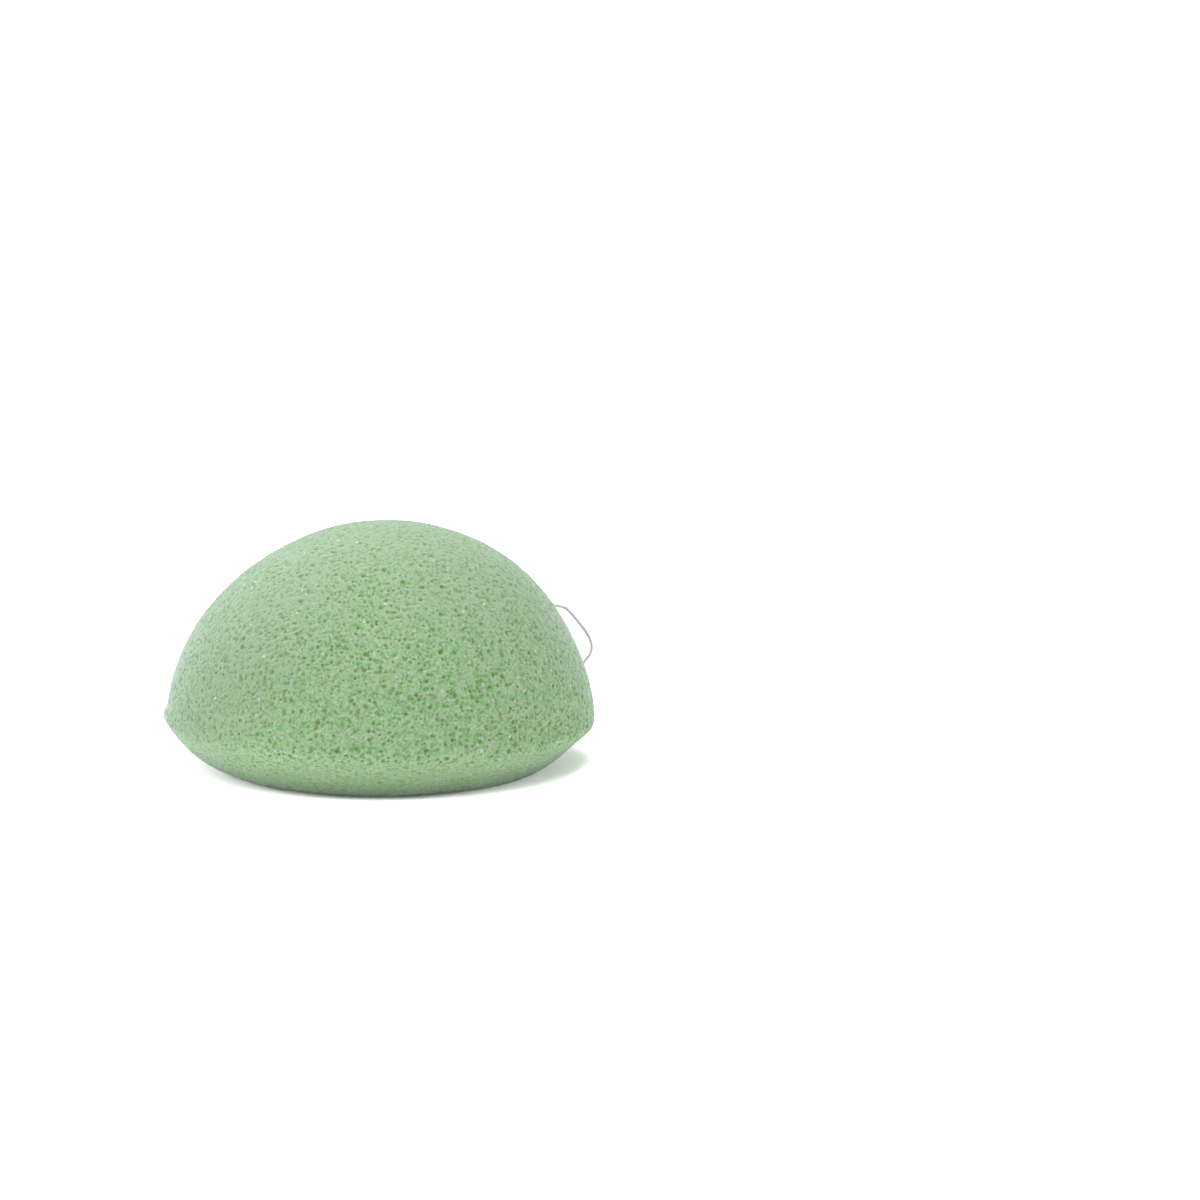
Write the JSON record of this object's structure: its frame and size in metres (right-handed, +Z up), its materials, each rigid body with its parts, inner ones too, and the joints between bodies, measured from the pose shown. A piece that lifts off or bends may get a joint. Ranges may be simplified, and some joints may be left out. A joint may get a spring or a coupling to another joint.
{
  "type": "konjac sponge",
  "caption": "Half-dome konjac facial sponge of fine-pored green foam, rounded under its rim, with a knotted cotton thread loop sewn through its back for hanging it to dry.",
  "frame": {"origin": "on the surface that the sponge rests on, under the middle of the foam", "axes": "+Z up towards the crown, +Y to the back, where the loop is sewn in, +X to the right seen from the front"},
  "size_m": [0.0828, 0.0941, 0.0456],
  "materials": {
    "konjac_foam": "damp plant-fibre foam, matte with fine open pores",
    "cotton_thread": "undyed twisted cotton, matte"
  },
  "bodies": {
    "sponge": {"sponge_body": "konjac_foam", "thread_stitch": "cotton_thread"},
    "hanging_loop": {"loop_strand_right": "cotton_thread", "loop_strand_left": "cotton_thread", "loop_knot": "cotton_thread"}
  },
  "joints": [
    {"name": "loop_swing", "type": "hinge", "parent": "sponge", "child": "hanging_loop", "pos_m": [0.01457, 0.02796, 0.02654], "axis": [0.8741, -0.4845, 0.0349], "range_deg": [0, 120]}
  ]
}
